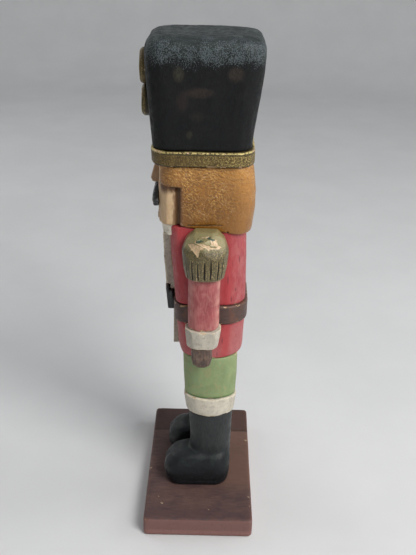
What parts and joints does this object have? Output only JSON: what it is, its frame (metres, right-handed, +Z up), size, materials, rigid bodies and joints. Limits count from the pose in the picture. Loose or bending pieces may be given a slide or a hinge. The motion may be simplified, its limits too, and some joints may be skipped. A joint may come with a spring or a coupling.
{
  "type": "nutcracker figure",
  "caption": "Painted carved-wood nutcracker soldier standing on a flat stained board, with arms that swing on shoulder pegs; a seasonal ornament.",
  "frame": {"origin": "centre of the base board's underside, where it rests", "axes": "+Z up; the figure faces -Y and its own left side is +X"},
  "size_m": [0.111, 0.0626, 0.2628],
  "materials": {
    "stained_base": "worn dark red-brown stain, satin",
    "screw_steel": "zinc-grey",
    "bare_dowel": "bare sanded wood",
    "black_boot_paint": "black paint with a soft sheen",
    "white_cuff_paint": "aged off-white paint",
    "green_trouser_paint": "worn sage-green paint",
    "red_coat_paint": "worn rose-red paint, brushed on",
    "brown_belt_paint": "dark brown paint with chips",
    "black_buckle_paint": "black paint",
    "white_panel_paint": "aged off-white paint",
    "brown_glove_paint": "rubbed dark brown paint",
    "antique_gold_paint": "antique gold paint, darkened in the grooves",
    "face_paint": "flesh-coloured paint, antiqued",
    "ochre_hair_paint": "ochre-brown paint over carved strokes",
    "black_moustache_paint": "black paint",
    "tooth_paint": "off-white paint",
    "eye_paint": "painted eyes",
    "black_hat_paint": "black paint with a grey sheen on the crown"
  },
  "bodies": {
    "figure": {"base_board": "stained_base", "base_screws": "screw_steel", "coat_skirt": "red_coat_paint", "coat_torso": "red_coat_paint", "belt": "brown_belt_paint", "belt_buckle": "black_buckle_paint", "chest_panel": "white_panel_paint", "skirt_placket": "white_panel_paint", "collar": "white_panel_paint", "neck_dowel": "bare_dowel", "head_block": "face_paint", "hair": "ochre_hair_paint", "nose": "face_paint", "moustache": "black_moustache_paint", "jaw_front": "face_paint", "teeth": "tooth_paint", "eyes": "eye_paint", "hat_dowel": "bare_dowel", "hat_band": "antique_gold_paint", "hat": "black_hat_paint", "hat_badge_upper": "antique_gold_paint", "hat_badge_lower": "antique_gold_paint", "left_boot": "black_boot_paint", "left_boot_cuff": "white_cuff_paint", "left_trouser_leg": "green_trouser_paint", "left_leg_dowel": "bare_dowel", "right_boot": "black_boot_paint", "right_boot_cuff": "white_cuff_paint", "right_trouser_leg": "green_trouser_paint", "right_leg_dowel": "bare_dowel"},
    "left_arm": {"left_sleeve": "red_coat_paint", "left_epaulette": "antique_gold_paint", "left_sleeve_cuff": "white_cuff_paint", "left_hand": "brown_glove_paint", "left_shoulder_peg": "bare_dowel"},
    "right_arm": {"right_sleeve": "red_coat_paint", "right_epaulette": "antique_gold_paint", "right_sleeve_cuff": "white_cuff_paint", "right_hand": "brown_glove_paint", "right_shoulder_peg": "bare_dowel"}
  },
  "joints": [
    {"name": "left_shoulder", "type": "hinge", "parent": "figure", "child": "left_arm", "pos_m": [0.0238, 0.0012, 0.16], "axis": [-1, 0, 0], "range_deg": [-140, 140]},
    {"name": "right_shoulder", "type": "hinge", "parent": "figure", "child": "right_arm", "pos_m": [-0.0238, 0.0012, 0.16], "axis": [-1, 0, 0], "range_deg": [-140, 140]}
  ]
}
